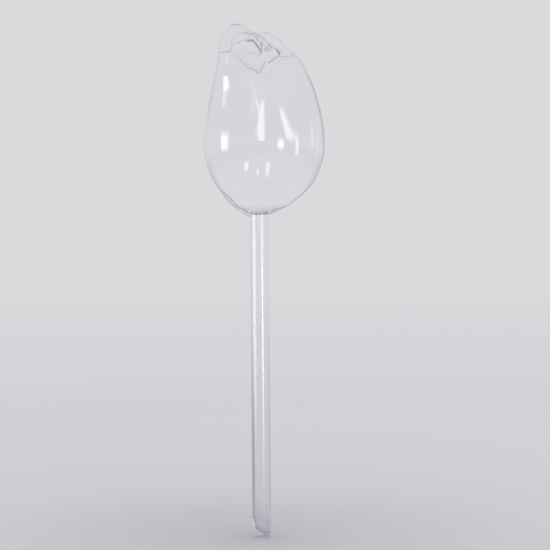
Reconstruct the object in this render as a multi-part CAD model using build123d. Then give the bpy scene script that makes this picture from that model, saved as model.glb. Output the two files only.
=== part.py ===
from build123d import *
import math
import os

# Watering globe: a hollow clear head in the form of a tulip bud, on a long hollow stem with a slanted tip.
# The head is two moulded half shells that meet in the plane y = 0. The stem is an extruded tube. Its
# shoulder seats on the underside of the head, and its thinner upper end goes through the round hole in the
# head's floor, where a ring of clear cement holds it.
# Millimetres, +Z up. The origin is on the stem's axis, on the underside of the head. The front is -Y.

# Head, measured from the stem's axis
head_left_reach = 34.3
head_right_reach = 41.2
head_half_depth = 36.0
head_rim_height = 111.0
head_wall = 0.9

# Rear petals that rise above the rim, the dips where the front ones curl in, and how far the bud's middle
# sinks between them
rear_left_petal_rise = 10.2
rear_right_petal_rise = 4.2
front_left_dip = 6.0
front_right_dip = 8.0
bud_sink = 1.8
# Direction of each, in degrees from +X towards +Y, and how narrow it is, as a power of a cosine
petal_places = [
    (rear_left_petal_rise, 146.0, 6),
    (rear_right_petal_rise, 48.0, 4),
    (-front_left_dip, 222.0, 6),
    (-front_right_dip, 322.0, 5),
]

# Each ring of the head from the floor to the rim: its height as a share of the rim's height, its reach to
# the left and to the right as shares of the way from the neck's seat to the full reach, and the share of
# the petals' rise that it takes.
ring_shares = [
    (0.020, 0.113, 0.153, 0.00),
    (0.041, 0.244, 0.293, 0.00),
    (0.084, 0.408, 0.498, 0.00),
    (0.138, 0.649, 0.696, 0.00),
    (0.189, 0.792, 0.825, 0.00),
    (0.256, 0.912, 0.924, 0.00),
    (0.324, 0.978, 0.985, 0.00),
    (0.405, 1.000, 1.000, 0.00),
    (0.523, 0.956, 0.968, 0.00),
    (0.631, 0.876, 0.889, 0.00),
    (0.721, 0.810, 0.796, 0.00),
    (0.811, 0.722, 0.673, 0.04),
    (0.874, 0.675, 0.556, 0.15),
    (0.923, 0.649, 0.410, 0.45),
    (0.977, 0.543, 0.250, 0.90),
    (1.000, 0.367, 0.104, 1.00),
]
# Each ring of the bud inside the rim: its size as a share of the rim's, its share of the petals' rise and
# its share of the sink.
bud_shares = [
    (0.75, 0.92, 0.10),
    (0.50, 0.62, 0.40),
    (0.25, 0.25, 0.75),
]
points_per_ring = 12
rear_turn = 90.0

# Upper edges of the outer petals, seen from the front and from behind. The bud above each edge lies deeper
# by the step. Each point is a share of the left reach, + to the right in both, and of the rim's height.
petal_step = 0.6
parting_overrun = 5.0
front_edge_shares = [
    (-1.30, 0.910),
    (-0.69, 0.911),
    (-0.49, 0.914),
    (-0.40, 0.880),
    (-0.27, 0.850),
    (-0.10, 0.818),
    (0.01, 0.795),
    (0.06, 0.822),
    (0.12, 0.856),
    (0.20, 0.850),
    (0.40, 0.890),
    (0.65, 0.885),
    (1.30, 0.880),
]
rear_edge_shares = [
    (-1.30, 0.930),
    (-0.60, 0.925),
    (-0.30, 0.870),
    (0.02, 0.800),
    (0.16, 0.760),
    (0.24, 0.812),
    (0.42, 0.868),
    (0.62, 0.880),
    (1.30, 0.870),
]

# Stem
stem_outer_radius = 5.8
stem_wall = 1.2
stem_length = 200.6
tip_slant = 47.2
tip_turn = 59.0
spigot_wall = 0.6
spigot_stand = 1.6

# Neck, where the stem's spigot goes through the head's floor
neck_clearance = 0.15
neck_land = 1.0
cement_bead_share = 0.5

# Worked out from the sizes above
stem_inner_radius = stem_outer_radius - stem_wall
spigot_radius = stem_inner_radius + spigot_wall
hole_radius = spigot_radius + neck_clearance
seat_radius = stem_outer_radius + neck_land
spigot_top = head_wall + spigot_stand
cement_bead = cement_bead_share * spigot_stand


def petal_rise(turn):
    """Height that the petals add to the rim in the direction turn: one smooth bump for each petal."""
    rise = 0
    for height, middle, narrowness in petal_places:
        closeness = (1 + math.cos(math.radians(turn - middle))) / 2
        rise += height * closeness ** narrowness
    return rise


def ring_wire(left, right, depth, height, petal_share):
    """Closed smooth ring, an ellipse between its left and right reach, lifted where the petals rise."""
    middle = (right - left) / 2
    half_width = (right + left) / 2
    points = []
    for step in range(points_per_ring):
        turn = rear_turn + 360 * step / points_per_ring
        x = middle + half_width * math.cos(math.radians(turn))
        y = depth * math.sin(math.radians(turn))
        points.append((x, y, height + petal_share * petal_rise(turn)))
    return Wire(Spline(*points, periodic=True).edges())


def head_form(inset):
    """Solid tulip form. An inset above zero gives the hollow inside a wall of that thickness."""
    floor = inset
    rim = head_rim_height - inset
    rings = [ring_wire(seat_radius, seat_radius, seat_radius, floor, 0)]
    for height_share, left_share, right_share, petal_share in ring_shares:
        depth_share = (left_share + right_share) / 2
        left = seat_radius + left_share * (head_left_reach - seat_radius) - inset
        right = seat_radius + right_share * (head_right_reach - seat_radius) - inset
        depth = seat_radius + depth_share * (head_half_depth - seat_radius) - inset
        height = floor + height_share * (rim - floor)
        rings.append(ring_wire(left, right, depth, height, petal_share))
    middle = (right - left) / 2
    for size_share, petal_share, sink_share in bud_shares:
        half_width = size_share * (right + left) / 2
        height = rim - sink_share * bud_sink
        ring = ring_wire(half_width - middle, half_width + middle, size_share * depth, height, petal_share)
        rings.append(ring)
    rings.append(Vertex(middle, 0, rim - bud_sink))
    return Solid.make_loft(rings)


def above_edge(edge_shares, side, drop):
    """Space above a petal edge, lowered by drop, on one side of the parting plane and a little past it."""
    edge = [(x_share * head_left_reach, z_share * head_rim_height - drop) for x_share, z_share in edge_shares]
    top = 2 * head_rim_height
    near = -side * parting_overrun
    outline = edge + [(edge[-1][0], top), (edge[0][0], top)]
    face = make_face(Polyline(*[(x, near, z) for x, z in outline], close=True))
    return extrude(face, amount=2 * head_half_depth, dir=(0, side, 0))


def stepped_form(inset, edge_shares, side):
    """Head form with the bud set back above the petals' edges on one side. The hollow's step is a wall lower."""
    bud = head_form(inset + petal_step)
    return Part() + head_form(inset) - (above_edge(edge_shares, side, inset) - bud)


def half_shell(edge_shares, side, kept):
    """The half of the head's wall on one side of the plane y = 0, with its half of the hole for the stem."""
    hole = Cylinder(hole_radius, head_half_depth)
    shell = stepped_form(0, edge_shares, side) - stepped_form(head_wall, edge_shares, side) - hole
    return split(shell, bisect_by=Plane.XZ, keep=kept)


def stem_tube():
    """Tube from the slanted tip to the shoulder under the head, with a thinner spigot above the shoulder."""
    from_bottom = (Align.CENTER, Align.CENTER, Align.MIN)
    tube = Pos(0, 0, -stem_length) * Cylinder(stem_outer_radius, stem_length, align=from_bottom)
    tube += Cylinder(spigot_radius, spigot_top, align=from_bottom)
    bore = Cylinder(stem_inner_radius, stem_length + spigot_top, align=from_bottom)
    tube -= Pos(0, 0, -stem_length) * bore
    slope = math.tan(math.radians(tip_slant))
    downhill = math.radians(tip_turn)
    cut_height = stem_outer_radius * slope - stem_length
    normal = (slope * math.cos(downhill), slope * math.sin(downhill), 1)
    return split(tube, bisect_by=Plane(origin=(0, 0, cut_height), z_dir=normal), keep=Keep.TOP)


def neck_cement():
    """Ring of cement that fills the clearance round the spigot, with a bead on the floor inside the head."""
    outline = Polyline(
        (spigot_radius, 0, 0),
        (hole_radius, 0, 0),
        (hole_radius, 0, head_wall),
        (hole_radius + cement_bead, 0, head_wall),
        (spigot_radius, 0, head_wall + cement_bead),
        close=True,
    )
    return revolve(make_face(outline), axis=Axis.Z)


os.makedirs("parts", exist_ok=True)
export_step(half_shell(front_edge_shares, -1, Keep.TOP), "parts/front_shell.step")
export_step(half_shell(rear_edge_shares, 1, Keep.BOTTOM), "parts/rear_shell.step")
export_step(stem_tube(), "parts/stem_tube.step")
export_step(neck_cement(), "parts/neck_cement.step")
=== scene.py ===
# %% [markdown]
# A clear watering globe in the form of a tulip bud.
# The real thing is a hollow plastic head on a long hollow stem. You fill it with water, turn it over and
# push the slanted tip into the soil of a plant pot. Everything is clear, so its looks come from three
# things only: where the wall is seen edge-on, what the glossy faces mirror, and the faint lavender tint of
# the plastic. The construction is loaded first as a fixed frame. The visible pieces are then made in the
# same place.

import math

import bpy
import numpy as np
from mathutils import Matrix, Vector


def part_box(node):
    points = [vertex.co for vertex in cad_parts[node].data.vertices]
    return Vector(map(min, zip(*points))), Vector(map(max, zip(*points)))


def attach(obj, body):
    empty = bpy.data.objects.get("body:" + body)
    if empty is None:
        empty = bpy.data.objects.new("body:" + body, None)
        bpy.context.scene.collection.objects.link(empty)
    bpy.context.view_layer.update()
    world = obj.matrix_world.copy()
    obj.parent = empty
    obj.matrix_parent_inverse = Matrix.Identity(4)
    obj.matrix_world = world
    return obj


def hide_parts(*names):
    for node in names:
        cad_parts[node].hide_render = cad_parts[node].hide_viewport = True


MM = 0.001
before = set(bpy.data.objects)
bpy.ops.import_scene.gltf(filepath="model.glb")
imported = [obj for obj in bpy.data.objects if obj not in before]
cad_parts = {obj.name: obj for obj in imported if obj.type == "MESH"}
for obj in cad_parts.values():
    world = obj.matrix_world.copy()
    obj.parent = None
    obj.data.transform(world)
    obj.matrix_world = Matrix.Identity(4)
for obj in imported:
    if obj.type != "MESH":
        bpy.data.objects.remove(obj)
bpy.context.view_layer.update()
shell_low, shell_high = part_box("front_shell")
stem_low, stem_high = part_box("stem_tube")

# %% [markdown]
# The camera.
# The photograph looks straight at the front, a little from the right of the stem, and the object leans half
# a degree. A long lens from 0.8 m gives the same mild perspective. The lean is put into the camera, because
# the part itself stands upright in its own frame.

# %% Camera at the photograph's angle
LENS = 85.0
SENSOR = 36.0
CAMERA_DISTANCE = 0.8077
CAMERA_CENTRE = (0.00951, -0.03787)
CAMERA_ROLL = math.radians(0.494)
CAMERA_SEES_TO = 100.0

lens_data = bpy.data.cameras.new("photo_camera")
lens_data.lens = LENS
lens_data.sensor_width = SENSOR
lens_data.clip_end = CAMERA_SEES_TO
camera = bpy.data.objects.new("photo_camera", lens_data)
bpy.context.scene.collection.objects.link(camera)
right = Vector((math.cos(CAMERA_ROLL), 0, -math.sin(CAMERA_ROLL)))
up = Vector((math.sin(CAMERA_ROLL), 0, math.cos(CAMERA_ROLL)))
back = Vector((0, -1, 0))
turned = Matrix((right, up, back)).transposed().to_4x4()
turned.translation = (CAMERA_CENTRE[0], -CAMERA_DISTANCE, CAMERA_CENTRE[1])
camera.matrix_world = turned
bpy.context.scene.camera = camera
bpy.context.scene.view_settings.view_transform = "Standard"
print("camera covers", round(SENSOR / LENS * CAMERA_DISTANCE / MM, 1), "mm at the stem")

# %% [markdown]
# Small helpers for every material.
# Colours are written as the hex values that a paint program shows, and one function turns them to the
# linear numbers that the renderer adds up. Another adds a node with its settings and links in one call. The
# last three do that for the kinds of node that are used most, and hand on the node's result.

# %% Helpers for colours and nodes
def linear(hex_colour):
    """Linear red, green, blue and 1 from an sRGB hex colour. Each part v, from 0 to 1, becomes v / 12.92 up
    to 0.04045 and ((v + 0.055) / 1.055) ^ 2.4 above it."""
    parts = np.array([int(hex_colour[i:i + 2], 16) / 255 for i in (1, 3, 5)])
    low = parts / 12.92
    high = ((parts + 0.055) / 1.055) ** 2.4
    return (*np.where(parts <= 0.04045, low, high).tolist(), 1.0)


def add(tree, kind, inputs=None, **settings):
    """Adds a node. In inputs, a pair of a node and its output is linked, other values are set."""
    node = tree.nodes.new(kind)
    for name, value in settings.items():
        setattr(node, name, value)
    for key, value in (inputs or {}).items():
        if isinstance(value, tuple) and isinstance(value[0], bpy.types.Node):
            tree.links.new(value[0].outputs[value[1]], node.inputs[key])
        else:
            node.inputs[key].default_value = value
    return node


def maths(tree, operation, *values):
    """Result of an operation on up to three values."""
    return add(tree, "ShaderNodeMath", dict(enumerate(values)), operation=operation), "Value"


def smooth_step(tree, value, start, end, low=0.0, high=1.0):
    """Result that goes smoothly from low to high while value goes from start to end."""
    inputs = {"Value": value, "From Min": start, "From Max": end, "To Min": low, "To Max": high}
    return add(tree, "ShaderNodeMapRange", inputs, interpolation_type="SMOOTHSTEP"), "Result"


def colour_mix(tree, share, first, second, **settings):
    """Colour that goes from first to second while share goes from 0 to 1."""
    return add(tree, "ShaderNodeMix", {0: share, 6: first, 7: second}, data_type="RGBA", **settings), 2


# %% [markdown]
# The room and the backdrop.
# A clear object shows only what is around it. Straight through the plastic the eye sees the pale backdrop,
# so rays that have passed without a reflection get the backdrop's colour. Rays that a face has mirrored see
# the room instead: a little darker, with tall soft windows. Light Path's Glossy Depth tells the two apart.
# That darker room is what draws the thin grey contour of the head, because at the rim every ray is mirrored
# inside the wall. The windows are placed by direction, as degrees round the object from the front and
# upwards. The back of the head mirrors them a second time. Its rays have crossed both walls, which
# Transmission Depth counts, so they get narrower windows of their own, as ribs in the rear wall would cut
# them. Just below the horizon lies a dim band: the far edge of a table, which keeps the stem's sides from
# shining near the floor.

# %% World with a pale backdrop, a darker room and soft windows
BACKDROP_COLOUR = "#dbd9dc"
ROOM_COLOUR = "#d5d3d9"
AMBIENT = 0.89
# The wall behind the object, and the degrees round between which the room turns into it
WALL_COLOUR = "#dedce0"
WALL_BEHIND = (90.0, 125.0)
# Middle in degrees round from the front (+ to the right), half width, middle and half height in degrees up,
# softness of its ends, lean of its sides in degrees round for each degree up, tilt of its ends in degrees
# up for each degree round, strength
WINDOWS = [
    (-93.5, 9.0, 24.8, 3.6, 0.5, -1.8, 0.18, 3.2),
    (-78.0, 10.0, 2.7, 8.2, 3.5, 0.0, 0.0, 3.2),
    (-26.0, 3.0, 29.0, 5.0, 3.0, 0.0, 0.0, 0.8),
    (-16.0, 4.0, 12.0, 6.0, 4.0, 0.0, 0.0, 1.4),
    (-7.0, 8.0, 16.7, 14.2, 1.2, 0.0, 0.0, 2.9),
    (45.0, 6.5, 16.5, 10.5, 4.0, -0.55, 0.0, 2.8),
    (31.0, 6.0, -1.3, 5.0, 4.5, 0.0, 0.0, 4.4),
    (30.0, 5.0, -11.0, 8.0, 5.0, 0.0, 0.0, 0.4),
    (103.0, 2.5, 7.0, 6.0, 3.0, 0.0, 0.0, 0.9),
]
# The same windows as the ribbed back of the head throws them: in narrow pieces
BACK_WINDOWS = [
    (-66.0, 4.0, 6.0, 6.5, 3.0, 0.0, 0.0, 3.6),
    (38.0, 4.2, 29.0, 6.5, 3.0, 0.4, 0.0, 3.2),
    (14.5, 3.0, 40.5, 5.5, 3.0, 0.0, 0.0, 3.0),
    (-6.0, 4.0, 35.0, 11.0, 4.0, 0.0, 0.0, 2.8),
]
# The table's far edge, a dim band all round just below the horizon
TABLE_BAND = (0.0, 400.0, -11.0, 7.5, 5.0, 0.0, 0.0, -0.2)
SIDE_SOFTNESS = 2.4
# Light Path's counts are whole numbers: past these, a ray was mirrored, or has crossed the front wall to
# the back
MIRRORED_ONCE = 0.5
FACES_TO_THE_BACK = 2.5

world = bpy.data.worlds.new("soft_studio")
bpy.context.scene.world = world
world.use_nodes = True
sky = world.node_tree
sky.nodes.clear()
way = add(sky, "ShaderNodeTexCoord")
axes = add(sky, "ShaderNodeSeparateXYZ", {0: (way, "Generated")})
forward = maths(sky, "MULTIPLY", (axes, "Y"), -1.0)
turn = maths(sky, "DEGREES", maths(sky, "ARCTAN2", (axes, "X"), forward))
rise = maths(sky, "DEGREES", maths(sky, "ARCSINE", (axes, "Z")))


def panes_of(windows):
    """Sum over the windows of strength * (1 inside, falling off smoothly at the sides and at the ends)."""
    glow = 0.0
    for middle, half_width, height, half_height, end_softness, lean, tilt, strength in windows:
        above = maths(sky, "SUBTRACT", rise, height)
        around = maths(sky, "SUBTRACT", turn, middle)
        beside = maths(sky, "MULTIPLY_ADD", above, -lean, around)
        ends = maths(sky, "MULTIPLY_ADD", around, -tilt, above)
        shares = []
        for offset, half, soft in ((beside, half_width, SIDE_SOFTNESS), (ends, half_height, end_softness)):
            size = maths(sky, "ABSOLUTE", offset)
            shares.append(smooth_step(sky, size, half - soft, half + soft, 1.0, 0.0))
        pane = maths(sky, "MULTIPLY", *shares)
        glow = maths(sky, "MULTIPLY_ADD", pane, strength, glow)
    return glow


path = add(sky, "ShaderNodeLightPath")
straight = maths(sky, "MAXIMUM", (path, "Is Camera Ray"), (path, "Is Transmission Ray"))
mirrored = maths(sky, "GREATER_THAN", (path, "Glossy Depth"), MIRRORED_ONCE)
lit = colour_mix(sky, straight, (AMBIENT, AMBIENT, AMBIENT, 1.0), linear(BACKDROP_COLOUR))
from_back = maths(sky, "GREATER_THAN", (path, "Transmission Depth"), FACES_TO_THE_BACK)
glow = add(sky, "ShaderNodeMix", {
    0: from_back, 2: panes_of(WINDOWS + [TABLE_BAND]), 3: panes_of(BACK_WINDOWS + [TABLE_BAND])})
panes = add(sky, "ShaderNodeCombineColor", {0: (glow, 0), 1: (glow, 0), 2: (glow, 0)})
behind = smooth_step(sky, maths(sky, "ABSOLUTE", turn), *WALL_BEHIND)
walls = colour_mix(sky, behind, linear(ROOM_COLOUR), linear(WALL_COLOUR))
room = colour_mix(sky, 1.0, (panes, "Color"), walls, blend_type="ADD")
seen = colour_mix(sky, mirrored, lit, room)
background = add(sky, "ShaderNodeBackground", {"Color": seen})
add(sky, "ShaderNodeOutputWorld", {"Surface": (background, "Background")})
print("windows in the room:", len(WINDOWS), "and thrown by the back:", len(BACK_WINDOWS))

# %% [markdown]
# The floor.
# It is a plain pale disc just under the tip, and only a stage for the part. The photograph is a little
# darker towards its lower edge, so the disc's colour rises slowly with the distance from the tip until it
# meets the backdrop. Close by, the disc is matt paint that takes the lamp's soft shadow. Far away it only
# has to have the right colour, so there it gives off that colour by itself. Rays that the object's faces
# have mirrored pass through the disc to the room, whose windows reach below the horizon as a room's do
# beside a small table.

# %% Floor, its colour by distance, and one soft lamp for the shadow
FLOOR_GAP = 0.2
FLOOR_RADIUS = 12.0
FLOOR_RINGS = [0.05, 0.2, 0.6, 1.5, 4.0, FLOOR_RADIUS]
FLOOR_COLUMNS = 96
# Distance from the tip in metres and the colour there; the darker colours near the tip are painted shade
FLOOR_STOPS = [
    (0.00, "#bab8be"), (0.10, "#c4c2c7"), (0.21, "#cccacf"), (0.64, "#d2d1d5"), (1.66, "#d6d4d8"),
    (7.60, "#dad8db"), (FLOOR_RADIUS, BACKDROP_COLOUR),
]
# The stops lie on the ramp at this power of their share of the radius, so that the near ones have room
STOP_POWER = 0.5
# Distances in metres between which the floor turns from matt paint into an even glow
MATT_REACH = (0.6, 1.4)
# The lamp's side and place in metres, and its power in watts
LAMP_SIZE = 0.9
LAMP_PLACE = (0.35, -0.25, 1.5)
LAMP_POWER = 5.0


def disc_mesh(name, radii, columns, height):
    """Flat disc. Ring k has the radius radii[k], and its points lie evenly round it."""
    turns = np.arange(columns) * 2 * np.pi / columns
    rings = np.array(radii)[:, None] * np.exp(1j * turns)[None, :]
    points = np.column_stack([rings.real.ravel(), rings.imag.ravel(), np.full(rings.size, height)])
    points = np.vstack([points, [[0, 0, height]]])
    index = np.arange(rings.size).reshape(rings.shape)
    after = np.roll(index, -1, axis=1)
    quads = np.stack([index[:-1], index[1:], after[1:], after[:-1]], axis=-1).reshape(-1, 4)
    fan = np.column_stack([np.full(columns, rings.size), index[0], after[0]])
    mesh = bpy.data.meshes.new(name)
    mesh.from_pydata(points.tolist(), [], quads.tolist() + fan.tolist())
    return mesh


floor_mesh = disc_mesh("floor", FLOOR_RINGS, FLOOR_COLUMNS, stem_low.z - FLOOR_GAP * MM)
floor = bpy.data.objects.new("floor", floor_mesh)
bpy.context.scene.collection.objects.link(floor)

floor_paint = bpy.data.materials.new("floor_paint_and_painted_shade")
floor_paint.use_nodes = True
tree = floor_paint.node_tree
tree.nodes.clear()
place = add(tree, "ShaderNodeTexCoord")
flat = add(tree, "ShaderNodeVectorMath", {0: (place, "Object"), 1: (1.0, 1.0, 0.0)}, operation="MULTIPLY")
away = add(tree, "ShaderNodeVectorMath", {0: (flat, "Vector")}, operation="LENGTH")
share = maths(tree, "DIVIDE", (away, "Value"), FLOOR_RADIUS)
ramp = add(tree, "ShaderNodeValToRGB", {"Fac": maths(tree, "POWER", share, STOP_POWER)})
stops = ramp.color_ramp.elements
for number, (distance, colour) in enumerate(FLOOR_STOPS):
    stop = stops[number] if number < 2 else stops.new(1.0)
    stop.position = (distance / FLOOR_RADIUS) ** STOP_POWER
    stop.color = linear(colour)
matt = add(tree, "ShaderNodeBsdfDiffuse", {"Color": (ramp, "Color")})
even = add(tree, "ShaderNodeEmission", {"Color": (ramp, "Color")})
fade = smooth_step(tree, (away, "Value"), *MATT_REACH)
both = add(tree, "ShaderNodeMixShader", {0: fade, 1: (matt, "BSDF"), 2: (even, "Emission")})
bounce = add(tree, "ShaderNodeLightPath")
by_mirror = maths(tree, "GREATER_THAN", (bounce, "Glossy Depth"), MIRRORED_ONCE)
let_by = add(tree, "ShaderNodeBsdfTransparent")
shown = add(tree, "ShaderNodeMixShader", {0: by_mirror, 1: (both, "Shader"), 2: (let_by, "BSDF")})
add(tree, "ShaderNodeOutputMaterial", {"Surface": (shown, "Shader")})
floor_mesh.materials.append(floor_paint)

lamp_data = bpy.data.lights.new("soft_lamp", "AREA")
lamp_data.size = LAMP_SIZE
lamp_data.energy = LAMP_POWER
lamp = bpy.data.objects.new("soft_lamp", lamp_data)
lamp.location = LAMP_PLACE
lamp.rotation_euler = (-Vector(LAMP_PLACE)).to_track_quat("-Z", "Y").to_euler()
lamp.visible_glossy = False
lamp.visible_transmission = False
bpy.context.scene.collection.objects.link(lamp)
print("floor at z =", round(stem_low.z / MM - FLOOR_GAP, 2), "mm")

# %% [markdown]
# The plastic.
# Watering globes of this kind are clear PVC. The head is moulded in a thin film and the stem is extruded.
# PVC bends light a little more than acrylic does (IOR about 1.53). It has a faint lavender tint from the
# blue dye that makers add against yellowing. Every face that light crosses adds a little of the tint, so it
# hardly shows face on and gathers where the walls are seen edge-on. Along the folds a darker violet is
# painted in: painted shade for the thin dark lines that the folds draw by bending the light. An attribute
# from 0 to 1 on each point carries that painted shade into the colour. An attribute called sawn makes the
# rough cut at the tip dull.
# Light that goes round inside a wall leaks out of a real one, while a traced ray would stay in and turn the
# contours black. So a ray that has been mirrored often is let out straight, and a little darker. Shadow
# rays pass straight too, which keeps the shadow on the floor as faint as that of a thin clear thing.
# Where two pieces are welded or cemented, no air is left between them, and light goes from one to the other
# as through one piece. Those hidden faces get a second finish that lets light pass unbent.

# %% Clear PVC, moulded, extruded and as cement
# Painted shade: the violet painted along the folds, the fin's edge and the stem's left edge, with some haze
# by the cut
SHADE_AND_HAZE_TINT = "#a9a6c0"
PVC_IOR = 1.53
# The cement touches PVC on every side, so this is its index over that of PVC
CEMENT_IOR = 1.02
# Width of the waves that the mould's or the die's skin leaves in the plastic, and of its cloudy patches
PEEL_MM = 7.0
CLOUD_MM = 28.0
CLOUD_DETAIL = 3.0
PEEL_DETAIL = 1.0
# The part of the noise that is spread over the roughness, and how many times rougher a cloudy patch is
CLOUD_SPAN = (0.3, 0.7)
CLOUDY_TIMES = 2.2
# Light that has been mirrored inside a wall more often than this leaves it straight
MIRRORED_AT_MOST = 2.5
LET_OUT_TINT = "#c9c8cd"
# What one face takes from the light that goes on to the floor
SHADOW_TINT = "#eeedf2"


def clear_pvc(name, tint, smooth, sawn_roughness, ripple_mm, streaked, ior=PVC_IOR):
    """Glossy clear plastic. Its colour goes from the tint to the violet of the painted shade as that
    attribute goes from 0 to 1. Its roughness goes from smooth to CLOUDY_TIMES smooth by a noise of CLOUD_MM,
    plus sawn_roughness * sawn. Its ripple is a noise of PEEL_MM, ripple_mm high. Both noises are stretched
    upwards streaked times."""
    material = bpy.data.materials.new(name)
    material.use_nodes = True
    tree = material.node_tree
    tree.nodes.clear()
    place = add(tree, "ShaderNodeTexCoord")
    spread = add(tree, "ShaderNodeMapping", {
        "Vector": (place, "Object"), "Scale": (1.0, 1.0, 1.0 / streaked)}, vector_type="POINT")
    fold = add(tree, "ShaderNodeAttribute", attribute_name="fold")
    sawn = add(tree, "ShaderNodeAttribute", attribute_name="sawn")
    # The violet is painted shade along the folds and edges, with some haze by the stem's cut
    colour = colour_mix(tree, (fold, "Fac"), linear(tint), linear(SHADE_AND_HAZE_TINT))
    cloud = add(tree, "ShaderNodeTexNoise", {
        "Vector": (spread, "Vector"), "Scale": 1 / (CLOUD_MM * MM), "Detail": CLOUD_DETAIL})
    rough = add(tree, "ShaderNodeMapRange", {
        "Value": (cloud, "Fac"), "From Min": CLOUD_SPAN[0], "From Max": CLOUD_SPAN[1],
        "To Min": smooth, "To Max": CLOUDY_TIMES * smooth})
    rough = maths(tree, "MULTIPLY_ADD", (sawn, "Fac"), sawn_roughness, (rough, "Result"))
    wave = add(tree, "ShaderNodeTexNoise", {
        "Vector": (spread, "Vector"), "Scale": 1 / (PEEL_MM * MM), "Detail": PEEL_DETAIL})
    ripple = add(tree, "ShaderNodeBump", {
        "Height": (wave, "Fac"), "Distance": ripple_mm * MM, "Strength": 1.0})
    plastic = add(tree, "ShaderNodeBsdfPrincipled", {
        "Base Color": colour, "Roughness": rough, "IOR": ior,
        "Transmission Weight": 1.0, "Normal": (ripple, "Normal")})
    path = add(tree, "ShaderNodeLightPath")
    trapped = maths(tree, "GREATER_THAN", (path, "Glossy Depth"), MIRRORED_AT_MOST)
    straight = maths(tree, "MAXIMUM", trapped, (path, "Is Shadow Ray"))
    veil = colour_mix(tree, (path, "Is Shadow Ray"), linear(LET_OUT_TINT), linear(SHADOW_TINT))
    let_out = add(tree, "ShaderNodeBsdfTransparent", {"Color": veil})
    kept = add(tree, "ShaderNodeMixShader", {0: straight, 1: (plastic, "BSDF"), 2: (let_out, "BSDF")})
    add(tree, "ShaderNodeOutputMaterial", {"Surface": (kept, "Shader")})
    return material


# Moulded in a polished tool: glossy, with wide soft waves that make the windows' edges swim a little
moulded_pvc = clear_pvc("moulded_clear_pvc", "#fefeff", 0.015, 0.0, 0.02, 1.0)
# Drawn out of a die: its marks are long streaks, and the sawn end is dull
extruded_pvc = clear_pvc("extruded_clear_pvc", "#fdfcff", 0.02, 0.35, 0.004, 12.0)
# Solvent cement cured in the gap: clear, a little cloudy, without waves
cement_pvc = clear_pvc("cured_clear_cement", "#fbfaff", 0.03, 0.0, 0.0, 1.0, ior=CEMENT_IOR)
# The welded faces, which light crosses unbent
weld = bpy.data.materials.new("solvent_weld")
weld.use_nodes = True
weld.node_tree.nodes.clear()
unbent = add(weld.node_tree, "ShaderNodeBsdfTransparent")
add(weld.node_tree, "ShaderNodeOutputMaterial", {"Surface": (unbent, "BSDF")})
print("plastics:", moulded_pvc.name, extruded_pvc.name, cement_pvc.name)

# %% [markdown]
# The head's form.
# It could be sculpted, but a tulip bud is really a stack of lopsided ellipses, wider to the right than to
# the left. So the form is a function of two numbers: how far along the profile from the neck to the middle
# of the bud, and how far round. A smooth spline runs through the rings, and four soft bumps lift or drop
# the rim where the petals stand. Inside the rim, a spiral dip winds round the middle as rolled petals do.
# The reaches come from the frame's box, a little inside it.

# %% The head as a function of two numbers
HEAD_RIM_HEIGHT = 111.0
SEAT_RADIUS = 6.8
HOLE_RADIUS = 5.38
BUD_SINK = 1.8
PARTING_RIDGE = 0.06
# Room inside the frame's box at the sides, and for the relief in front
SIDE_SPARE = 0.03
DEPTH_SPARE = 0.3
head_left = -shell_low.x / MM - PARTING_RIDGE - SIDE_SPARE
head_right = shell_high.x / MM - PARTING_RIDGE - SIDE_SPARE
head_depth = -shell_low.y / MM - DEPTH_SPARE
# Height as a share of the rim's, left and right reach as shares of the way from the seat to the full reach,
# share of the petals' rise
RING_SHARES = np.array([
    (0.020, 0.113, 0.153, 0.00), (0.041, 0.244, 0.293, 0.00), (0.084, 0.408, 0.498, 0.00),
    (0.138, 0.649, 0.696, 0.00), (0.189, 0.792, 0.825, 0.00), (0.256, 0.912, 0.924, 0.00),
    (0.324, 0.978, 0.985, 0.00), (0.405, 1.000, 1.000, 0.00), (0.523, 0.956, 0.968, 0.00),
    (0.631, 0.876, 0.889, 0.00), (0.721, 0.810, 0.796, 0.00), (0.811, 0.722, 0.673, 0.04),
    (0.874, 0.675, 0.556, 0.15), (0.923, 0.649, 0.410, 0.45), (0.977, 0.543, 0.250, 0.90),
    (1.000, 0.367, 0.104, 1.00),
])
# Size as a share of the rim's, share of the petals' rise, share of the sink
BUD_SHARES = np.array([(0.75, 0.92, 0.10), (0.50, 0.62, 0.40), (0.25, 0.25, 0.75)])
# Rise in mm, direction in degrees from +X towards +Y, narrowness
PETALS = [(9.35, 146.0, 5.5), (4.2, 48.0, 4), (-6.0, 222.0, 6), (-8.0, 322.0, 5)]
# The spiral dip: depth in mm, start as a share of a turn, then shares of the way in from the rim to the
# middle: where it starts, how far it winds in, its half width and the ease at the rim
SPIRAL_DIP = 0.8
SPIRAL_START = 0.15
SPIRAL_FROM = 0.34
SPIRAL_WIND = 0.30
SPIRAL_HALF_WIDTH = 0.13
SPIRAL_EASE = 0.15
# The rolled middle of the bud, in mm: place and half widths across and deep, rise, and the way below the
# rim on which it grows
CORE_PLACE = (-6.0, -3.5)
CORE_HALF_WIDTHS = (8.6, 8.0)
CORE_RISE = 2.0
CORE_EASE = 6.0


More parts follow.
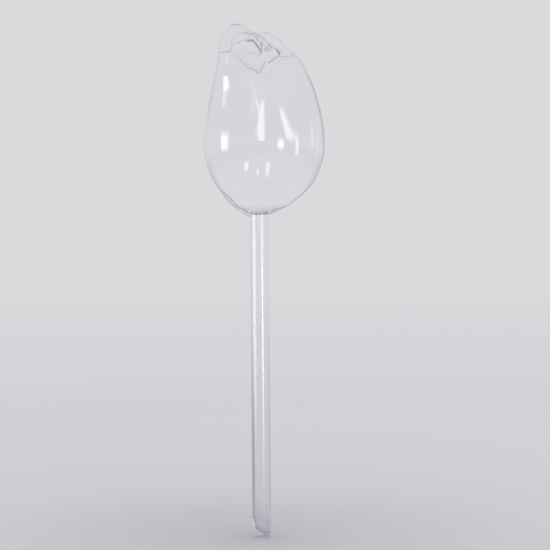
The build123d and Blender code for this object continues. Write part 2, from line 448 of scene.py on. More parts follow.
def spline_through(knots, values, at):
    """Natural cubic spline: the second derivatives solve the usual three-band system, and each place takes
    the cubic between its two neighbouring knots."""
    gaps = np.diff(knots)
    slopes = np.diff(values, axis=0) / gaps[:, None]
    system = np.eye(len(knots))
    inner = np.arange(1, len(knots) - 1)
    system[inner, inner - 1] = gaps[:-1]
    system[inner, inner] = 2 * (gaps[:-1] + gaps[1:])
    system[inner, inner + 1] = gaps[1:]
    target = np.zeros_like(values)
    target[1:-1] = 6 * np.diff(slopes, axis=0)
    bends = np.linalg.solve(system, target)
    piece = np.clip(np.searchsorted(knots, at, side="right") - 1, 0, len(gaps) - 1)
    gap = gaps[piece][..., None]
    before = (knots[piece + 1] - at)[..., None]
    after = (at - knots[piece])[..., None]
    curved = bends[piece] * before ** 3 + bends[piece + 1] * after ** 3
    level = (values[piece] / gap - bends[piece] * gap / 6) * before
    return curved / (6 * gap) + level + (values[piece + 1] / gap - bends[piece + 1] * gap / 6) * after


def ring_table():
    """A row for each ring, from the seat to the middle: left, right, depth, height, petal share."""
    height, left, right, petal = RING_SHARES.T
    left_mm = SEAT_RADIUS + left * (head_left - SEAT_RADIUS)
    right_mm = SEAT_RADIUS + right * (head_right - SEAT_RADIUS)
    depth_mm = SEAT_RADIUS + (left + right) / 2 * (head_depth - SEAT_RADIUS)
    wall = np.column_stack([left_mm, right_mm, depth_mm, height * HEAD_RIM_HEIGHT, petal])
    middle = (wall[-1, 1] - wall[-1, 0]) / 2
    half = (wall[-1, 1] + wall[-1, 0]) / 2
    size, petal, sink = np.vstack([BUD_SHARES, [0.0, 0.0, 1.0]]).T
    bud = np.column_stack([
        size * half - middle, size * half + middle, size * wall[-1, 2],
        HEAD_RIM_HEIGHT - sink * BUD_SINK, petal])
    return np.vstack([[SEAT_RADIUS, SEAT_RADIUS, SEAT_RADIUS, 0.0, 0.0], wall, bud])


rings = ring_table()
profile = np.column_stack([(rings[:, 0] + rings[:, 1]) / 2, rings[:, 3]])
RING_KNOTS = np.concatenate([[0.0], np.cumsum(np.hypot(*np.diff(profile, axis=0).T))])
RIM_AT = RING_KNOTS[len(RING_SHARES)]
MIDDLE_AT = RING_KNOTS[-1]


def head_point(along, round_):
    """Outer face before its relief. The spline gives the ring's reach, depth, height and petal share at
    along. Then x = middle + half cos, y = depth sin, z = height + petal * rises, where a rise is the
    petal's own times ((1 + cos(angle from it)) / 2) ^ narrowness. Off that goes the spiral dip, exp(-(way
    in - its place)^2), and on it comes the bud's core, CORE_RISE * exp(-r^4) with r from its place in half
    widths."""
    left, right, depth, height, petal = np.moveaxis(spline_through(RING_KNOTS, rings, along), -1, 0)
    lift = sum(rise * ((1 + np.cos(round_ - math.radians(turn))) / 2) ** narrow
               for rise, turn, narrow in PETALS)
    inward = np.clip((along - RIM_AT) / (MIDDLE_AT - RIM_AT), 0, 1)
    dip_at = SPIRAL_FROM + SPIRAL_WIND * np.mod(round_ / (2 * np.pi) + SPIRAL_START, 1.0)
    dip = SPIRAL_DIP * np.exp(-((inward - dip_at) / SPIRAL_HALF_WIDTH) ** 2)
    dip *= np.clip(inward / SPIRAL_EASE, 0, 1)
    x = (right - left) / 2 + (right + left) / 2 * np.cos(round_)
    y = depth * np.sin(round_)
    off_x = (x - CORE_PLACE[0]) / CORE_HALF_WIDTHS[0]
    off_y = (y - CORE_PLACE[1]) / CORE_HALF_WIDTHS[1]
    core = CORE_RISE * np.exp(-(off_x ** 2 + off_y ** 2) ** 2)
    core *= np.clip((along - RIM_AT + CORE_EASE) / CORE_EASE, 0, 1)
    return np.stack([x, y, height + petal * lift - dip + core], axis=-1)


print("profile length", round(MIDDLE_AT, 1), "mm, rim at", round(RIM_AT, 1), "mm")

# %% [markdown]
# The petals' edges.
# On the real bud the petals are not separate: the mould draws them into one skin, so each petal's edge is a
# small step with a sharp fold. Seen against the light every such fold is a thin violet line. The lines
# below are the folds as they are seen from the front, in mm from the neck, each a smooth curve through a
# few points. Along a fold the skin on one side stands out and the skin on the other lies back, and both
# ease off within some millimetres. The same distance gives the attribute that paints that thin violet line
# into the plastic's colour, as painted shade.

# %% Folds as smooth lines, and the distance beside them
FOLD_HALF_WIDTH = 0.38
STEP_EASE = 3.5
# The share of a fold's length over which its step grows at each end
END_SHARE = 0.18
# Points (x, z), step in mm (+ where the skin on the line's left stands out), painted shade at start and end
FRONT_FOLDS = [
    ([(4.4, 108.3), (6.0, 107.0), (7.6, 104.9), (8.9, 103.4)], 0.25, 0.5, 1.0),
    ([(-17.3, 101.8), (-13.6, 98.6), (-9.3, 94.1), (-5.5, 91.3), (-1.8, 89.6), (0.3, 88.0)],
     -0.18, 0.1, 0.8),
    ([(0.3, 88.0), (1.6, 89.4), (2.9, 91.6), (4.3, 95.0)], -0.22, 0.8, 0.5),
    ([(6.6, 94.2), (8.8, 95.6), (10.7, 97.1), (13.2, 98.4), (13.6, 99.3), (12.9, 100.8), (11.3, 102.6)],
     -0.5, 0.9, 1.0),
    ([(-23.9, 100.7), (-21.0, 101.2), (-17.3, 101.8)], -0.04, 0.5, 0.7),
    ([(-6.0, 0.5), (-3.0, 0.35), (0.0, 0.3), (4.0, 0.45)], 0.0, 0.0, 0.5),
    ([(4.0, 0.45), (6.7, 0.8), (10.0, 1.7), (13.0, 2.9), (17.0, 5.0)], 0.0, 0.6, 0.2),
    ([(-17.3, 101.8), (-16.5, 104.2), (-16.1, 106.6)], -0.40, 0.8, 0.3),
    ([(-6.7, 108.0), (-5.7, 107.8), (-4.2, 108.3), (-1.1, 105.9), (0.5, 103.4), (1.3, 101.6)],
     0.35, 1.0, 1.0),
    ([(2.6, 102.5), (2.3, 101.2), (1.6, 99.9)], 0.20, 0.8, 1.0),
    ([(2.5, 107.4), (2.3, 105.0), (1.9, 102.6)], 0.20, 0.9, 0.6),
    ([(4.2, 102.2), (5.3, 103.1), (6.7, 103.5)], 0.15, 0.8, 0.8),
    ([(4.5, 101.5), (6.3, 101.8), (8.2, 102.4)], 0.15, 0.6, 0.6),
    ([(-9.2, 102.9), (-4.2, 100.6), (1.4, 99.4)], 0.15, 0.15, 0.25),
    ([(14.3, 97.6), (17.0, 97.8), (20.0, 98.3), (22.2, 98.2)], -0.20, 0.45, 0.35),
    ([(14.1, 100.9), (15.8, 101.0), (17.6, 100.8)], -0.15, 0.35, 0.25),
]
REAR_FOLDS = [
    ([(-23.0, 110.4), (-21.6, 113.5), (-20.0, 115.8), (-17.0, 117.9), (-14.0, 118.6), (-11.0, 118.1),
      (-8.0, 116.4), (-5.0, 114.3)], 0.0, 0.9, 0.5),
    ([(-16.1, 106.8), (-14.9, 110.4), (-11.8, 112.1), (-9.1, 113.1), (-6.6, 113.0), (-4.1, 112.1),
      (-1.6, 110.6), (1.4, 108.9)], 0.0, 0.15, 0.6),
    ([(4.0, 112.9), (7.0, 112.7), (10.0, 111.7), (13.0, 109.6), (16.0, 106.9)], 0.0, 0.25, 0.15),
    ([(-5.0, 114.6), (-2.2, 112.9), (1.5, 110.8), (4.4, 108.6)], 0.1, 0.4, 0.5),
    ([(-21.5, 102.7), (-10.3, 96.6), (0.7, 88.8), (5.5, 84.6)], -0.45, 0.1, 0.12),
    ([(5.5, 84.6), (8.2, 90.1), (14.4, 96.3), (21.3, 97.7)], -0.45, 0.12, 0.1),
]
LINE_STEP = 0.8


def smooth_line(points):
    """The natural spline through the points by their chord length, read every LINE_STEP or so."""
    points = np.array(points, float)
    length = np.concatenate([[0.0], np.cumsum(np.hypot(*np.diff(points, axis=0).T))])
    count = max(4, int(length[-1] / LINE_STEP))
    return spline_through(length, points, np.linspace(0, length[-1], count))


def beside_line(x, z, line):
    """For each (x, z): how far beside the line it is, + on the line's left, and how far along it the
    nearest place is, as a share. On each piece of the line that place is the foot of the perpendicular,
    held between the piece's ends."""
    beside = np.full(x.shape, 1e3)
    along = np.zeros(x.shape)
    pieces = np.diff(line, axis=0)
    for number, (start, piece) in enumerate(zip(line[:-1], pieces)):
        span = piece @ piece
        foot = np.clip(((x - start[0]) * piece[0] + (z - start[1]) * piece[1]) / span, 0, 1)
        off_x = x - start[0] - foot * piece[0]
        off_z = z - start[1] - foot * piece[1]
        side = np.where(piece[0] * off_z - piece[1] * off_x >= 0, 1.0, -1.0)
        gap = np.hypot(off_x, off_z)
        nearer = gap < np.abs(beside)
        beside = np.where(nearer, side * gap, beside)
        along = np.where(nearer, (number + foot) / len(pieces), along)
    return beside, along


def folded(x, z, folds):
    """Relief in mm and the painted shade along the folds. Relief: step * side * exp(-gap / STEP_EASE),
    smoothed across the line by tanh and eased to nothing at both ends. Painted shade: tint * exp(-(gap /
    FOLD_HALF_WIDTH)^2)."""
    relief = np.zeros(x.shape)
    tint = np.zeros(x.shape)
    for points, step, tint_start, tint_end in folds:
        beside, along = beside_line(x, z, smooth_line(points))
        gap = np.abs(beside)
        ends = np.clip(np.minimum(along, 1 - along) / END_SHARE, 0, 1)
        ends = ends * ends * (3 - 2 * ends)
        relief += step * ends * np.tanh(beside / FOLD_HALF_WIDTH) * np.exp(-gap / STEP_EASE)
        strength = tint_start + (tint_end - tint_start) * along
        tint = np.maximum(tint, strength * np.exp(-(gap / FOLD_HALF_WIDTH) ** 2))
    return relief, tint


print("folds:", len(FRONT_FOLDS), "in front,", len(REAR_FOLDS), "behind")

# %% [markdown]
# Petal faces.
# Under the edges each petal is slightly dished, and two of them meet in a groove down the front. The
# dishing is what breaks the window's reflection into the separate tall streaks that a smooth egg would not
# show. It is a few tenths of a millimetre of waves round the head, strongest at mid height, and one dish in
# the left petal that follows a list of heights.

# %% Waves and the groove of the petals
GROOVE_DEPTH = 0.3
GROOVE_HALF_WIDTH = 1.5
# Heights where the groove starts and is full, and where it stops being full and ends
GROOVE_HEIGHTS = [58.0, 72.0, 82.0, 90.0]
# The groove's x at a height of GROOVE_KNOWN_AT, and how much it leans for each mm up
GROOVE_PLACE = 0.9
GROOVE_KNOWN_AT = 40.0
GROOVE_LEAN = -0.008
WAVE_DEPTH = 0.16
WAVE_HEIGHTS = [18.0, 43.0, 79.0, 104.0]
# Two sets of waves: how many go round, start in radians, twist in radians per mm up, share of the depth
WAVES = [(9, 0.6, 0.0, 1.0), (17, 0.0, 0.05, 0.5)]
# The dish in the left petal: (height, relief), both in mm, and where it lies round the head
LEFT_DISH = [
    (40.0, 0.0), (48.0, -0.12), (56.0, -0.27), (62.0, -0.27), (66.0, -0.19), (70.0, -0.09), (74.0, -0.02),
    (78.0, 0.0), (84.0, 0.0), (88.0, -0.03), (92.0, -0.13), (96.0, -0.32), (99.0, -0.45), (102.0, -0.45),
    (105.0, -0.25), (109.0, 0.0),
]
LEFT_DISH_AT = math.radians(232.0)
LEFT_DISH_HALF_WIDTH = math.radians(28.0)


def petal_faces(x, z, round_):
    """Relief in mm: a groove exp(-((x - its place) / half width)^2) down the front from the V's tip, the
    dish in the left petal, and the sum of the waves' share * cos(count * round + start + twist * z), which
    fades out above and below."""
    ramp_up_and_down = [0.0, 1.0, 1.0, 0.0]
    groove = np.interp(z, GROOVE_HEIGHTS, ramp_up_and_down)
    middle = GROOVE_PLACE + GROOVE_LEAN * (z - GROOVE_KNOWN_AT)
    valley = -GROOVE_DEPTH * groove * np.exp(-((x - middle) / GROOVE_HALF_WIDTH) ** 2)
    waves = sum(share * np.cos(count * round_ + start + twist * z) for count, start, twist, share in WAVES)
    body = np.interp(z, WAVE_HEIGHTS, ramp_up_and_down)
    dish = np.interp(z, *zip(*LEFT_DISH)) * np.exp(-((round_ - LEFT_DISH_AT) / LEFT_DISH_HALF_WIDTH) ** 2)
    return valley + WAVE_DEPTH * body * waves + dish


# %% [markdown]
# The two half shells.
# Each half is one closed skin: the outer face, the inner face a wall's thickness inside it, the band that
# meets the other half, and the rim of the hole for the stem. Both faces are the same grid of rows and
# columns, so they are joined by plain index arithmetic. The wall is drawn thinner than the construction has
# it, which gives the head the fine contour of a thin film. Only near the neck does it thicken to the real
# floor, because the stem's spigot goes through it there. The columns beside the parting plane are kept on
# their own side of it, so that the two halves meet there and never cross.

# %% Grids of the half shells
WALL = 0.45
FLOOR_WALL = 0.9
NECK_EASE = 3.0
SEAT_INNER_RADIUS = 5.83
BODY_ROWS = 84
BUD_ROWS = 130
COLUMNS = 208
BUD_START = 84.0
# The relief fades over this many columns to the parting plane, and over this many mm to the bud's middle
FADE_COLUMNS = 8
FADE_TO_MIDDLE = 2.0
# How much of the outer face's relief the inner face takes away from the wall
INNER_RELIEF = 0.7
# The least that is divided by where the normal turns into the parting plane
LEAST_IN_PLANE = 0.15
# The least distance from the parting plane, as a share of the form's own
OWN_SIDE_SHARE = 0.4
NORMAL_STEP = 1e-3
PROFILE_READINGS = 400


def shell_rows():
    """Places along the profile: even from the seat to the height BUD_START, closer from there on."""
    read_at = np.linspace(0, RIM_AT, PROFILE_READINGS)
    heights = spline_through(RING_KNOTS, rings[:, 3:4], read_at)[:, 0]
    start = np.interp(BUD_START, heights, read_at)
    body = np.linspace(0, start, BODY_ROWS, endpoint=False)
    return np.concatenate([body, np.linspace(start, MIDDLE_AT, BUD_ROWS)])


def face_normals(along, round_):
    """Unit normals of head_point, from the cross product of its differences along and round."""
    last = MIDDLE_AT - 10 * NORMAL_STEP
    low = np.clip(along - NORMAL_STEP, 0, last)
    high = np.clip(along + NORMAL_STEP, NORMAL_STEP, last + NORMAL_STEP)
    up_way = head_point(high, round_) - head_point(low, round_)
    round_way = head_point(along, round_ + NORMAL_STEP) - head_point(along, round_ - NORMAL_STEP)
    normal = np.cross(round_way, up_way)
    return normal / np.linalg.norm(normal, axis=-1, keepdims=True).clip(1e-12)


def as_seen(place):
    """Where the camera sees a point, in mm in the stem's plane: the centre + (x, z from it) * D / (D + y),
    with the camera's distance D."""
    near = CAMERA_DISTANCE / MM / (CAMERA_DISTANCE / MM + place[..., 1])
    centre_x, centre_z = CAMERA_CENTRE[0] / MM, CAMERA_CENTRE[1] / MM
    return centre_x + (place[..., 0] - centre_x) * near, centre_z + (place[..., 2] - centre_z) * near


def shell_grids(side, folds):
    """Outer and inner grids of a half, side -1 for the front and 1 for the rear, and its folds' painted
    shade.
    Outer = form + normal * relief. Inner = form - normal * (wall - INNER_RELIEF * relief), with a wall that
    thickens to FLOOR_WALL towards the neck as exp(-(z / NECK_EASE)^2). Beside the parting plane the normal
    turns into the plane, v = (nx, 0, nz) / (nx^2 + nz^2), which keeps the wall's thickness. Both are held
    at OWN_SIDE_SHARE of the form's y or more. Two flat rings close the seat."""
    along = shell_rows()[:, None] * np.ones(COLUMNS)
    share = np.linspace(0, 1, COLUMNS)[None, :] * np.ones_like(along)
    round_ = np.pi * share if side > 0 else np.pi * (1 + share)
    place = head_point(along, round_)
    normal = face_normals(along, round_)
    seen_x, seen_z = as_seen(place)
    relief, fold = folded(seen_x, seen_z, folds)
    if side < 0:
        relief += petal_faces(place[..., 0], place[..., 2], round_)
    beside_edge = np.minimum(share, 1 - share) * COLUMNS
    wall = WALL + (FLOOR_WALL - WALL) * np.exp(-(place[..., 2] / NECK_EASE) ** 2)
    relief *= np.clip((beside_edge - 1) / FADE_COLUMNS, 0, 1)
    relief *= np.clip((MIDDLE_AT - along) / FADE_TO_MIDDLE, 0, 1)
    outer = place + normal * relief[..., None]
    in_plane = normal * [1, 0, 1]
    in_plane /= (in_plane ** 2).sum(-1, keepdims=True).clip(LEAST_IN_PLANE)
    edge = np.clip(1 - beside_edge / FADE_COLUMNS, 0, 1)[..., None]
    inner = place - (normal * (1 - edge) + in_plane * edge) * (wall - INNER_RELIEF * relief)[..., None]
    for grid in (outer, inner):
        grid[..., 1] = side * np.maximum(side * grid[..., 1], OWN_SIDE_SHARE * side * place[..., 1])
    circle = np.stack([np.cos(round_[:2]), np.sin(round_[:2]), 0 * round_[:2]], axis=-1)
    seat = circle * np.array([HOLE_RADIUS, SEAT_INNER_RADIUS])[:, None, None]
    outer = np.concatenate([seat, outer])
    inner = np.concatenate([seat + [0, 0, FLOOR_WALL], inner])
    return outer, inner, np.concatenate([fold[:2] * 0, fold])


# %% [markdown]
# The parting line.
# Where the two halves of the mould meet, they leave a thin ridge all round the head. At the lower left it
# was trimmed badly and stands out as a fin of clear plastic that runs down to the side of the stem. The
# edge columns of both grids are moved to the parting plane, and the outer ones are lifted to the ridge or
# the fin. A third column holds the fin's root on the head.

# %% Ridge and fin at the parting plane
PARTING_GAP = 0.01
RIDGE_HALF_WIDTH = 0.22
# Where the ridge ends, and the heights in mm over which it grows above the neck and fades below its end
RIDGE_TOP = 96.0
RIDGE_EASES = (6.0, 10.0)
# The fin's free edge (x, z), the height where it starts and over which it grows, and its root's half width
# as a multiple of its edge's
FIN_LINE = [(-23.0, 12.9), (-22.2, 11.9), (-18.1, 7.2), (-11.9, 2.1), (-6.1, -1.7)]
FIN_TOP = 14.2
FIN_EASE = 1.2
FIN_ROOT = 1.2
SEAT_ROWS = 2


def close_parting(outer, inner, fold, side):
    """Edge columns: y = side * PARTING_GAP. The outer edge is lifted to form + in-plane normal * ridge. At
    the left, below FIN_TOP, it goes to the fin's line instead, at the same share of the height. The column
    beside it follows, RIDGE_HALF_WIDTH off the plane, and on the fin both get a painted shade of 1: the fin's
    edge is painted as a dark line."""
    fin = smooth_line(FIN_LINE)[::-1]
    for edge, beside in ((0, 1), (-1, -2)):
        line = outer[:, edge][:, [0, 2]].copy()
        slope = np.gradient(line, axis=0)
        slope /= np.hypot(*slope.T)[:, None].clip(1e-9)
        on_left = line[BODY_ROWS // 2, 0] < 0
        normal = slope[:, ::-1] * ([-1, 1] if on_left else [1, -1])
        ridge = PARTING_RIDGE * np.clip(line[:, 1] / RIDGE_EASES[0], 0, 1)
        ridge *= np.clip((RIDGE_TOP - line[:, 1]) / RIDGE_EASES[1], 0, 1)
        lifted = line + normal * ridge[:, None]
        if on_left:
            row = np.arange(len(line))
            on_fin = np.clip((FIN_TOP - line[:, 1]) / FIN_EASE, 0, 1) * (row >= SEAT_ROWS) * (row < BODY_ROWS)
            on_fin = on_fin[:, None]
            fin_z = fin[0, 1] + line[:, 1] / FIN_TOP * (fin[-1, 1] - fin[0, 1])
            on_line = np.column_stack([np.interp(fin_z, fin[:, 1], fin[:, 0]), fin_z])
            lifted += on_fin * (on_line - lifted)
        width = np.minimum(RIDGE_HALF_WIDTH, 0.5 * np.abs(outer[:, beside, 1]))
        raised = np.clip(np.hypot(*(lifted - line).T) / PARTING_RIDGE, 0, 1)[:, None]
        own = outer[:, beside].copy()
        outer[:, edge] = np.column_stack([lifted[:, 0], 0 * width + side * PARTING_GAP, lifted[:, 1]])
        on_ridge = np.column_stack([lifted[:, 0], side * (PARTING_GAP + width), lifted[:, 1]])
        outer[:, beside] = own + raised * (on_ridge - own)
        if on_left:
            root = 2 * beside - edge
            under = np.column_stack([line[:, 0], side * (PARTING_GAP + FIN_ROOT * width), line[:, 1]])
            outer[:, root] += on_fin * (under - outer[:, root])
            # The fin's edge gets the full painted shade
            fold[:, [edge, beside]] = np.maximum(fold[:, [edge, beside]], on_fin)
        inner[:, edge, 1] = side * PARTING_GAP
    outer[-1] = outer[-1, 0]
    inner[-1] = inner[-1, 0]
    return outer, inner, fold


# %% [markdown]
# From grids to a closed skin.
# Index arithmetic turns each grid into quads. The outer face runs one way round, the inner face the other
# way, and strips join them at the hole and at both edges of the half. The last row of each grid is a single
# point in the middle of the bud, so the faces there are triangles.

# %% Closed skins and finished pieces
SHELL_SHARP_DEGREES = 50.0


def shell_skin(outer, inner):
    """Points, faces and which faces are welded: quads (row, column) of both grids, triangles to the middle,
    and strips at the hole and the edges. The strips and the first row of the outer grid are welded."""
    rows, columns = outer.shape[:2]
    index = np.arange((rows - 1) * columns).reshape(rows - 1, columns)
    count = index.size + 1
    out = np.vstack([index, np.full(columns, index.size)])
    within = out + count
    points = np.vstack([outer[:-1].reshape(-1, 3), outer[-1, :1], inner[:-1].reshape(-1, 3), inner[-1, :1]])
    here, beside = slice(None, -1), slice(1, None)
    faces, welded = [], []
    for grid, first, second in ((out, here, beside), (within, beside, here)):
        body = grid[:-1]
        quads = [body[here, first], body[here, second], body[beside, second], body[beside, first]]
        fan = [body[-1, first], body[-1, second], grid[-1, here]]
        faces += np.stack(quads, axis=-1).reshape(-1, 4).tolist() + np.stack(fan, axis=-1).tolist()
        seat = (columns - 1) * int(grid is out)
        welded += [1] * seat + [0] * (rows * (columns - 1) - (columns - 1) - seat)
    strips = [
        (out[0, beside], out[0, here], within[0, here], within[0, beside]),
        (out[here, 0], out[beside, 0], within[beside, 0], within[here, 0]),
        (out[beside, -1], out[here, -1], within[here, -1], within[beside, -1]),
    ]
    for strip in strips:
        faces += np.stack(strip, axis=-1).tolist()
        welded += [1] * len(strip[0])
    return points, faces, welded


def signed_volume(points, faces):
    """Sum over the faces' triangles of a . (b x c) / 6: positive where the faces look outwards."""
    corners = np.array([[f[0], f[i], f[i + 1]] for f in faces for i in range(1, len(f) - 1)])
    a, b, c = points[corners].transpose(1, 0, 2)
    return float(np.einsum("ij,ij->i", a, np.cross(b, c)).sum() / 6)


def finished_piece(name, points, faces, welded, attributes, material, sharp_degrees):
    """A closed mesh in metres at the origin, smooth but for edges sharper than sharp_degrees, with its
    finish. Faces that are 1 in welded get the weld's finish."""
    if signed_volume(points, faces) < 0:
        faces = [face[::-1] for face in faces]
    mesh = bpy.data.meshes.new(name)
    mesh.from_pydata((points * MM).tolist(), [], faces)
    for key, values in attributes.items():
        layer = mesh.attributes.new(key, "FLOAT", "POINT")
        layer.data.foreach_set("value", values.astype(np.float32))
    mesh.shade_smooth()
    mesh.set_sharp_from_angle(angle=math.radians(sharp_degrees))
    mesh.materials.append(material)
    mesh.materials.append(weld)
    mesh.polygons.foreach_set("material_index", np.array(welded, np.int32))
    piece = bpy.data.objects.new(name, mesh)
    bpy.context.scene.collection.objects.link(piece)
    print(name, len(points), "points,", round(signed_volume(points, faces) / 1000, 2), "cm3 of plastic,",
          "from", points.min(0).round(2), "to", points.max(0).round(2), "mm")
    return piece


def half_shell(name, side, folds):
    """One half of the head as a finished piece."""
    outer, inner, fold = shell_grids(side, folds)
    outer, inner, fold = close_parting(outer, inner, fold, side)
    if side > 0:
        outer, inner, fold = outer[:, ::-1], inner[:, ::-1], fold[:, ::-1]
    points, faces, welded = shell_skin(outer, inner)
    one_face = np.append(fold[:-1].ravel(), 0.0)
    both_faces = np.concatenate([one_face, one_face])
    attributes = {"fold": both_faces, "sawn": 0 * both_faces}
    return finished_piece(name, points, faces, welded, attributes, moulded_pvc, SHELL_SHARP_DEGREES)


front_half = half_shell("front_half_shell", -1, FRONT_FOLDS)
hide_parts("front_shell")
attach(front_half, "root")
rear_half = half_shell("rear_half_shell", 1, REAR_FOLDS)
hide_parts("rear_shell")
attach(rear_half, "root")

# %% [markdown]
# The stem is an extruded tube. A die leaves fine lines and two shallow flats along it, and never quite
# centres the bore. Each flat mirrors one window over its whole width, which is why the tube shows two broad
# bright streaks. Its upper end is turned down to a thinner spigot that goes through the head's floor. Its
# lower end was sawn at a slant, so that it pushes into soil. The sawn face is dull and scored. It and the
# plastic just above it get a darker violet: partly the haze that the saw's heat left, partly painted shade
# along the cut's edge. A painted shade line also darkens the stem's left edge towards the tip. The same
# attribute as the folds' carries both into the plastic's tint.

# %% Tube with a slanted end, a shoulder and a spigot
STEM_RADIUS = stem_high.x / MM
BORE_RADIUS = 4.6
# How far the bore is off the middle, and how far its columns are turned from the outer wall's, in radians
BORE_SHIFT = 0.10
BORE_TURN = 0.4
SPIGOT_RADIUS = 5.17
SPIGOT_TOP = 1.75
STEM_BOTTOM = stem_low.z / MM
# The gap under the head, so that the shoulder's face and the seat aren't drawn in one plane
SHOULDER_DROP = 0.03
TIP_SLANT = math.radians(47.2)
TIP_TURN = math.radians(59.0)
DIE_LINE_DEPTH = 0.012
# Two sets of die lines: how many go round, start in radians
DIE_LINES = [(23, 0.0), (37, 1.0)]
# Each flat: direction of its middle and half width, both in degrees
FLATS = [(-130.5, 8.0), (-75.0, 7.0)]
# The saw's marks: distance and depth in mm, and how much the slightly bent blade curves them
SAW_PITCH = 0.55
SAW_DEPTH = 0.05
SAW_BEND = 0.15
STEM_COLUMNS = 144
STEM_ROWS = 150
CUT_ROWS = 7
# Above 1, the rows lie closer towards the tip
ROW_POWER = 1.6


def cut_height(x, y):
    """Height of the slanted cut: STEM_BOTTOM at the stem's radius in the direction TIP_TURN, and from there
    back up by tan(TIP_SLANT) for each mm."""
    downhill = x * math.cos(TIP_TURN) + y * math.sin(TIP_TURN)
    return STEM_BOTTOM + (STEM_RADIUS - downhill) * math.tan(TIP_SLANT)


def stem_ring(radius, shift, round_):
    """Circle of that radius, moved sideways by shift, less DIE_LINE_DEPTH * (1 - mean of sin(count * t +
    start)). A flat of half width w also takes off radius * w^2 * exp(-(t - middle)^2 / 2 w^2), which
    cancels the circle's bend at its middle."""
    lines = sum(np.sin(count * round_ + start) for count, start in DIE_LINES) / len(DIE_LINES)
    lined = radius - DIE_LINE_DEPTH * (1 - lines)
    for middle, half_width in np.radians(FLATS):
        away = np.angle(np.exp(1j * (round_ - middle)))
        lined = lined - radius * half_width ** 2 * np.exp(-(away / half_width) ** 2 / 2)
    return lined * np.cos(round_) + shift, lined * np.sin(round_)


def stem_grid():
    """Closed profile as a grid, a row for each place and a column for each direction: up the outer wall,
    over the shoulder and the spigot, down the bore, and across the cut, where a sine draws its scores."""
    round_ = np.arange(STEM_COLUMNS) * 2 * np.pi / STEM_COLUMNS
    share = (np.linspace(0, 1, STEM_ROWS) ** ROW_POWER)[:, None]
    outer_x, outer_y = stem_ring(STEM_RADIUS, 0.0, round_)
    bore_x, bore_y = stem_ring(BORE_RADIUS, BORE_SHIFT, round_ + BORE_TURN)
    foot, bore_foot = cut_height(outer_x, outer_y), cut_height(bore_x, bore_y)
    flat = np.ones_like(round_)
    outer = [outer_x + 0 * share, outer_y + 0 * share, foot + share * (-SHOULDER_DROP - foot)]
    spigot_x, spigot_y = SPIGOT_RADIUS * np.cos(round_), SPIGOT_RADIUS * np.sin(round_)
    spigot_z = np.array([-SHOULDER_DROP, FLOOR_WALL, SPIGOT_TOP])[:, None] * flat
    spigot = [spigot_x + 0 * spigot_z, spigot_y + 0 * spigot_z, spigot_z]
    bore_z = SPIGOT_TOP + (1 - share[::-1]) * (bore_foot - SPIGOT_TOP)
    bore = [bore_x + 0 * share, bore_y + 0 * share, bore_z]
    across = np.linspace(0, 1, CUT_ROWS + 2)[1:-1, None]
    cut_x, cut_y = bore_x + across * (outer_x - bore_x), bore_y + across * (outer_y - bore_y)
    sideways = cut_x * math.sin(TIP_TURN) - cut_y * math.cos(TIP_TURN) + SAW_BEND * cut_x ** 2 / STEM_RADIUS
    saw = SAW_DEPTH * np.sin(2 * np.pi * sideways / SAW_PITCH)
    cut = [cut_x, cut_y, cut_height(cut_x, cut_y) + SAW_DEPTH + saw * np.sin(np.pi * across)]
    return np.stack([np.vstack(parts) for parts in zip(outer, spigot, bore, cut)], axis=-1)


grid = stem_grid()
rows, columns = grid.shape[:2]
index = np.arange(rows * columns).reshape(rows, columns)
above, beside = np.roll(index, -1, axis=0), np.roll(index, -1, axis=1)
stem_faces = np.stack([index, beside, np.roll(above, -1, axis=1), above], axis=-1).reshape(-1, 4).tolist()
sawn = np.zeros((rows, columns))
sawn[-CUT_ROWS:] = 1
# The shoulder and the foot of the spigot are cemented
seated = np.zeros((rows, columns))
seated[STEM_ROWS - 1:STEM_ROWS + 1] = 1
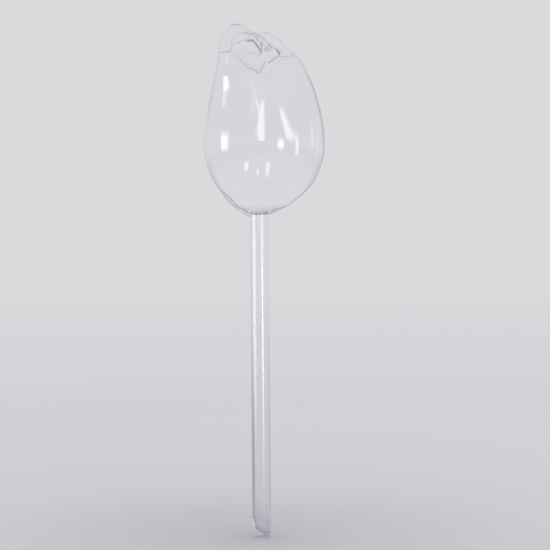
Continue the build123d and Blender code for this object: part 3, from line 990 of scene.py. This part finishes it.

# %% [markdown]
# The stem's haze and painted shade.
# Both are shares from 0 to 1 on each point. The haze and painted shade by the cut are strongest at the back
# of the cut, and the painted shade line on the left edge starts halfway down and grows towards the tip.

# %% Haze and painted shade above the cut, and the painted shade line on the left edge
# Heights in mm over which the haze and painted shade fade above the cut, and the slower fade's share
BURR_AND_SHADE_HEIGHT = 1.0
HAZE_AND_SHADE_HEIGHT = 5.0
HAZE_AND_SHADE_SHARE = 0.5
# Share of the haze and painted shade at the front of the cut, and the least tint of the sawn face
HAZE_AND_SHADE_IN_FRONT = 0.35
SAWN_LEAST = 0.7
# Direction round the stem and half width of the painted shade on its left edge, and the heights where it
# grows
LEFT_EDGE_SHADE_AT = math.radians(-170.0)
LEFT_EDGE_SHADE_HALF_WIDTH = math.radians(12.0)
LEFT_EDGE_SHADE_HEIGHTS = (-140.0, -70.0)
STEM_SHARP_DEGREES = 35.0


def stem_tint(x, y, z):
    """The painted shade and haze, the greatest of three. Sawn face: 0.5 + y / radius, at least SAWN_LEAST.
    Haze and painted shade by the cut: the same, at least HAZE_AND_SHADE_IN_FRONT, times the greater of
    exp(-(h / BURR_AND_SHADE_HEIGHT)^2) and HAZE_AND_SHADE_SHARE * exp(-h / HAZE_AND_SHADE_HEIGHT) at the
    height h above the cut. Painted shade on the left edge: exp(-(angle from it / half width)^2), which
    grows from 0 to 1 down the stem."""
    at_back = np.clip(0.5 + y / STEM_RADIUS, HAZE_AND_SHADE_IN_FRONT, 1.0)
    above_cut = (z - cut_height(x, y)).clip(0)
    haze_and_shade = np.maximum(np.exp(-(above_cut / BURR_AND_SHADE_HEIGHT) ** 2), HAZE_AND_SHADE_SHARE * np.exp(-above_cut / HAZE_AND_SHADE_HEIGHT))
    from_line = np.angle(np.exp(1j * (np.arctan2(y, x) - LEFT_EDGE_SHADE_AT)))
    left_edge_shade = np.exp(-(from_line / LEFT_EDGE_SHADE_HALF_WIDTH) ** 2) * np.interp(z, LEFT_EDGE_SHADE_HEIGHTS, (1, 0))
    return np.maximum.reduce([sawn * at_back.clip(SAWN_LEAST), at_back * haze_and_shade, left_edge_shade])


stem_attributes = {"fold": stem_tint(*np.moveaxis(grid, -1, 0)).ravel(), "sawn": sawn.ravel()}
stem = finished_piece(
    "clear_stem", grid.reshape(-1, 3), stem_faces, seated.ravel(), stem_attributes, extruded_pvc,
    STEM_SHARP_DEGREES)
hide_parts("stem_tube")
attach(stem, "root")

# %% [markdown]
# The cement.
# The ring that fixes the stem in the head has the right shape in the frame already, so it only gets a
# finish: cured clear cement, a little cloudier than the walls.

# %% Finish of the cement ring
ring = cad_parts["neck_cement"]
ring.data.materials.clear()
ring.data.materials.append(cement_pvc)
print("finish of neck_cement:", ring.data.materials[0].name)
